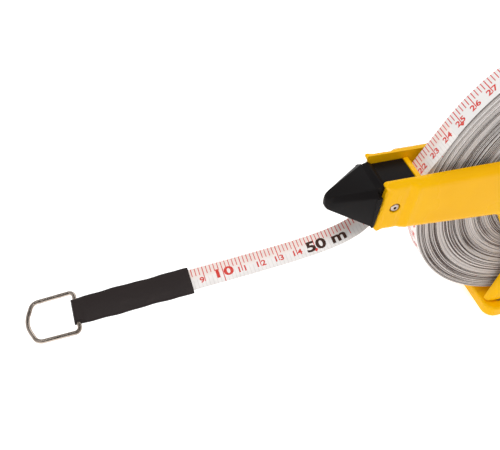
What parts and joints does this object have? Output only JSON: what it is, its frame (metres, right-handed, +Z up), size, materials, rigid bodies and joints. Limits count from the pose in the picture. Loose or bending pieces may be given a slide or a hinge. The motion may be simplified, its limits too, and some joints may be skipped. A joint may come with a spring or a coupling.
{
  "type": "tape measure",
  "caption": "Open-reel fibreglass tape measure: yellow frame with beaked tape nose, hand grip and foot, wound printed tape, folding crank, sleeve and end ring.",
  "frame": {"origin": "centre of the flat underside of the foot, below the reel's axis", "axes": "+Z up, -X towards the tape's nose, -Y towards the side with the crank"},
  "size_m": [0.4528, 0.0604, 0.236],
  "materials": {
    "yellow_abs": "moulded, satin gloss",
    "black_plastic": "satin",
    "grip_rubber": "matt, ribbed",
    "nickel": "polished nickel",
    "screw_steel": "zinc plated",
    "tape": "PVC-coated fibreglass with printed graduations",
    "vinyl": "soft vinyl"
  },
  "bodies": {
    "frame": {"side_frame_near": "yellow_abs", "side_frame_far": "yellow_abs", "nose_bridge": "yellow_abs", "foot_bar": "yellow_abs", "handle_core": "yellow_abs", "handle_grip": "grip_rubber", "nose_block": "black_plastic", "nose_rivet": "nickel", "foot_screw_1": "screw_steel", "foot_screw_2": "screw_steel", "foot_screw_3": "screw_steel", "foot_screw_4": "screw_steel", "handle_screw_lower": "screw_steel", "handle_screw_upper": "screw_steel", "handle_nut_lower": "screw_steel", "handle_nut_upper": "screw_steel", "axle_bolt": "screw_steel", "axle_washer": "screw_steel", "axle_nut": "screw_steel", "hub_bezel": "black_plastic", "tape_lead": "tape", "end_sleeve": "vinyl"},
    "reel": {"reel_hub": "black_plastic", "tape_pack": "tape", "crank_pin": "screw_steel"},
    "crank": {"crank_arm": "yellow_abs", "knob_pin": "screw_steel"},
    "knob": {"crank_knob": "black_plastic"},
    "ring": {"end_ring": "nickel"}
  },
  "joints": [
    {"name": "reel_spin", "type": "hinge", "parent": "frame", "child": "reel", "pos_m": [0, 0, 0.101], "axis": [0, 1, 0], "continuous": true},
    {"name": "crank_fold", "type": "hinge", "parent": "reel", "child": "crank", "pos_m": [0.01724, -0.02, 0.07894], "axis": [-0.788, 0, -0.6157], "range_deg": [0, 180]},
    {"name": "knob_spin", "type": "hinge", "parent": "crank", "child": "knob", "pos_m": [0.03817, -0.02, 0.05214], "axis": [0, 1, 0], "continuous": true},
    {"name": "ring_swing", "type": "hinge", "parent": "frame", "child": "ring", "pos_m": [-0.27052, 0.0036, 0.06071], "axis": [0, 0.9869, 0.1616], "range_deg": [-165, 165]}
  ]
}
